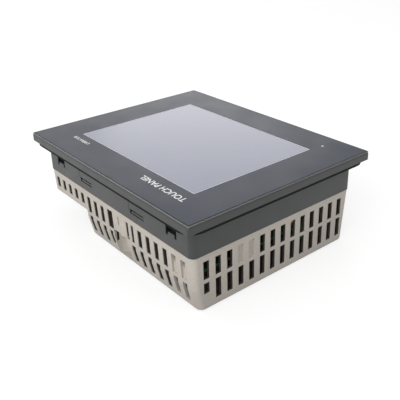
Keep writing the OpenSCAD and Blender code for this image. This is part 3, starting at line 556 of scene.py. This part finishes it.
# painted highlight: a bead paler and glossier than the bezel, laid along the rim's top edge to draw its
# bright highlight line
RIM_HIGHLIGHT = moulded("rim_painted_highlight", (0.11, 0.112, 0.112), 1500.0, 0.002, (0.16, 0.22), 0.03, Coat_Weight=0.5)
bezel_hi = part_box("front_bezel")[1] / MM
bead("rim_highlight_bead", (bezel_hi.x - BEAD_IN, bezel_hi.y - BEAD_IN), RIM_RADIUS - BEAD_IN, bezel_hi.z - BEAD_DOWN,
     BEAD, RIM_HIGHLIGHT)

# ---------------------------------------------------------------- printing on the back and the rating plate


def bars(name, boxes, material):
    """Flat printed bars. Each box is (x0, y0, x1, y1, z0, z1) in millimetres, with softened corners."""
    bm = bmesh.new()
    for x0, y0, x1, y1, z0, z1 in boxes:
        c = min(x1 - x0, y1 - y0) * 0.2
        outline = [(x0 + c, y0), (x1 - c, y0), (x1, y0 + c), (x1, y1 - c),
                   (x1 - c, y1), (x0 + c, y1), (x0, y1 - c), (x0, y0 + c)]
        low, high = ([bm.verts.new((x * MM, y * MM, z * MM)) for x, y in outline] for z in (z0, z1))
        bm.faces.new(low)
        bm.faces.new(high)
        for i in range(8):
            bm.faces.new((low[i], low[(i + 1) % 8], high[(i + 1) % 8], high[i]))
    return mesh_piece(name, bm, material)


plate_lo, plate_hi = (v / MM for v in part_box("rating_plate"))
plate_face = plate_lo.z
# three rows between four rules, each with its name on the left of a line and bars for words on the right
ROW_START, ROW_PITCH, RULE = 12.0, 5.5, 0.3
PLATE_ROWS = (("INPUT", 8), ("DATE", 6), ("CLASS", 9))   # name, and count of bars
ROW_NAME_X, COLUMN, MARGIN = -41.5, 24, 3
BAR_START, BAR_PITCH, BAR_HEIGHT, BAR_WIDTHS = 28, 3.1, 1.0, (2.4, 1.6, 2.6) * 3
row_y = [ROW_START + ROW_PITCH * k for k in range(len(PLATE_ROWS) + 1)]
rules = [(plate_lo.x + MARGIN, y, plate_hi.x - MARGIN, y + RULE) for y in row_y]
rules += [(plate_lo.x + COLUMN, row_y[0], plate_lo.x + COLUMN + RULE, row_y[-1] + RULE)]
for y, (_, count) in zip(row_y, PLATE_ROWS):
    for k in range(count):
        x = plate_lo.x + BAR_START + BAR_PITCH * k
        rules.append((x, y + 2.3, x + BAR_WIDTHS[k], y + 2.3 + BAR_HEIGHT))
bars("plate_rules", [(*b, plate_face - PRINT, plate_face + 0.02) for b in rules], GREY_INK)
plate_words = [("TOUCH PANEL", (-22.0, 34.5), 3.4)]
plate_words += [(word, (ROW_NAME_X, y + 2.7), 1.7) for y, (word, _) in zip(row_y, PLATE_ROWS)]
for text, place, height in plate_words:
    lettering("plate_" + text.lower().replace(" ", "_"), text, (*place, plate_face - PRINT / 2), height,
              GREY_INK, extrude=PRINT / 2, back=True)
PORT_NAMES_Y = -38.5
for text, x in (("DC 24 V", -55.0), ("COM 1", -30.0), ("COM 2", -3.3), ("LAN", 15.7)):
    lettering("port_" + text.lower().replace(" ", "_"), text, (x, PORT_NAMES_Y, BACK_RAISED), 2.6,
              GREY_INK, extrude=BACK_RAISED, back=True)

# ---------------------------------------------------------------- small parts on the boards


CHIP_LONG, CHIP_SHORT, CHIP_HEIGHT = 1.0, 0.6, 0.55
BODY_HALF = 0.62                            # half a body's length, as a share of the chip's size
END_AT, END_THICK, END_WIDE = 0.78, 0.22, 0.66   # place and half sizes of a metal end
EDGE_MARGIN, PART_MARGIN, CHIP_PITCH = 4, 1.5, 2.2   # clear of the board's edge, other parts and each other
REACH = 1.2        # a part this close to the board's face is in the way
WIDEST_PART = 60   # anything wider is another board or a plate, not a part


def small_parts(name, board, side, count, seed):
    """Chip resistors and capacitors on one face of a board, clear of every other part on it."""
    lo, hi = (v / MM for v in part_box(board))
    face = lo.z if side < 0 else hi.z
    low, high = (face - REACH, face - 0.01) if side < 0 else (face + 0.01, face + REACH)
    taken = []
    for other in nodes:
        a, b = (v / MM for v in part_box(other))
        if other != board and a.z < high and b.z > low and b.x - a.x < WIDEST_PART:
            taken.append((a.x - PART_MARGIN, a.y - PART_MARGIN, b.x + PART_MARGIN, b.y + PART_MARGIN))
    rng = random.Random(seed)
    bodies, ends = [], []
    while len(bodies) < count:
        x = rng.uniform(lo.x + EDGE_MARGIN, hi.x - EDGE_MARGIN)
        y = rng.uniform(lo.y + EDGE_MARGIN, hi.y - EDGE_MARGIN)
        long_x = rng.random() < 0.5
        if any(t[0] < x < t[2] and t[1] < y < t[3] for t in taken):
            continue
        w, h = (CHIP_LONG, CHIP_SHORT) if long_x else (CHIP_SHORT, CHIP_LONG)
        z0, z1 = sorted((face, face + side * CHIP_HEIGHT))
        bodies.append((x - w * BODY_HALF, y - h * BODY_HALF, x + w * BODY_HALF, y + h * BODY_HALF, z0, z1))
        for k in (-1, 1):
            cx, cy = (x + k * w * END_AT, y) if long_x else (x, y + k * h * END_AT)
            a, b = (END_THICK, h * END_WIDE) if long_x else (w * END_WIDE, END_THICK)
            ends.append((cx - a, cy - b, cx + a, cy + b, z0, z1 + 0.02 * (side > 0)))
        taken.append((x - CHIP_PITCH, y - CHIP_PITCH, x + CHIP_PITCH, y + CHIP_PITCH))
    bars(name + "_bodies", bodies, MATERIALS["chip"])
    bars(name + "_ends", ends, MATERIALS["nickel"])


small_parts("interface_small_parts", "interface_board", side=1, count=70, seed=5)
small_parts("main_small_parts", "main_board", side=-1, count=90, seed=9)

# ---------------------------------------------------------------- camera, floor and light

camera = bpy.data.objects.new("camera", bpy.data.cameras.new("camera"))
scene.collection.objects.link(camera)
camera.location = (-0.28819, 0.21864, 0.20452)
camera.rotation_euler = [math.radians(a) for a in (64.877, 1.307, -129.543)]
camera.data.lens = 55.514
camera.data.sensor_width = 36.0
camera.data.shift_x = -0.0253
camera.data.shift_y = -0.06016
camera.data.clip_start = 0.01
camera.data.clip_end = 50.0
scene.camera = camera

FLOOR_SIZE = 14.0
FLOOR_Z, BOUNCE_Z = -0.0002, -0.0006
FLOOR_TONE, FLOOR_GLOW = 0.35, 0.68
BOUNCE_TONE = 0.13
WORLD_LIGHT, WORLD_SEEN = 0.40, 1.0
WHITE = (1.0, 1.0, 1.0, 1.0)


def floor_material(name, tone, glow):
    """Plain matt paper, with a glow that lifts it to white."""
    s = Shader(name, Specular_IOR_Level=0.1, Emission_Color=WHITE, Emission_Strength=glow)
    cloud = s.noise(1.2, 3.0)
    s.colour(s.ramp(cloud, [(0.3, grey(tone - 0.01)), (0.7, grey(tone + 0.01))]))
    s.rough(s.remap(cloud, 0.85, 0.95))
    return s.mat


def stage_floor(name, z, tone, glow=0.0):
    h = FLOOR_SIZE / 2
    mesh = bpy.data.meshes.new(name)
    mesh.from_pydata([(-h, -h, z), (h, -h, z), (h, h, z), (-h, h, z)], [], [(0, 1, 2, 3)])
    mesh.materials.append(floor_material(name + "_paint", tone, glow))
    obj = bpy.data.objects.new(name, mesh)
    scene.collection.objects.link(obj)
    return obj


# the white floor that is seen, and the duller one under it that bounces light on to the part
floor = stage_floor("floor", FLOOR_Z, FLOOR_TONE, FLOOR_GLOW)
floor.visible_diffuse = False
floor.visible_shadow = False
bounce = stage_floor("floor_bounce", BOUNCE_Z, BOUNCE_TONE)
bounce.visible_camera = False
bounce.visible_glossy = False

# above the end of the floor the backdrop looks as pale as the floor, without lighting the object any more
world = bpy.data.worlds.new("studio")
world.use_nodes = True
sky = world.node_tree
light = sky.nodes["Background"]
seen = sky.nodes.new("ShaderNodeBackground")
for background, strength in ((light, WORLD_LIGHT), (seen, WORLD_SEEN)):
    background.inputs["Color"].default_value = WHITE
    background.inputs["Strength"].default_value = strength
choice = sky.nodes.new("ShaderNodeMixShader")
sky.links.new(sky.nodes.new("ShaderNodeLightPath").outputs["Is Camera Ray"], choice.inputs[0])
sky.links.new(light.outputs[0], choice.inputs[1])
sky.links.new(seen.outputs[0], choice.inputs[2])
sky.links.new(choice.outputs[0], sky.nodes["World Output"].inputs["Surface"])
scene.world = world


LIGHT_TARGET = Vector((0.0, 0.0, 0.03))


def softbox(name, azimuth, elevation, distance, size, radiance):
    """Rectangular light, placed by its direction from the part. radiance is what its face shows."""
    data = bpy.data.lights.new(name, "AREA")
    data.shape = "RECTANGLE"
    data.size, data.size_y = size
    data.energy = radiance * math.pi * size[0] * size[1]
    lamp = bpy.data.objects.new(name, data)
    a, e = math.radians(azimuth), math.radians(elevation)
    away = Vector((math.cos(a) * math.cos(e), math.sin(a) * math.cos(e), math.sin(e)))
    lamp.location = LIGHT_TARGET + away * distance
    lamp.rotation_euler = away.to_track_quat("Z", "Y").to_euler()
    scene.collection.objects.link(lamp)


# name, azimuth and elevation in degrees, distance and size in metres, radiance
softbox("key", 112.0, 29.0, 2.0, (2.2, 1.5), 3.4)
softbox("edge_light", 30.0, 38.0, 1.5, (0.6, 0.5), 3.0)
softbox("overhead", 0.0, 88.0, 1.8, (1.6, 1.6), 0.7)
softbox("far_panel", -27.0, 20.0, 2.2, (2.4, 1.2), 0.82)
softbox("back_light", -39.0, 16.0, 2.0, (0.8, 0.5), 1.2)
softbox("side_light", 196.0, 32.0, 0.8, (0.5, 0.4), 1.3)

scene.view_settings.view_transform = "Standard"
scene.view_settings.look = "None"
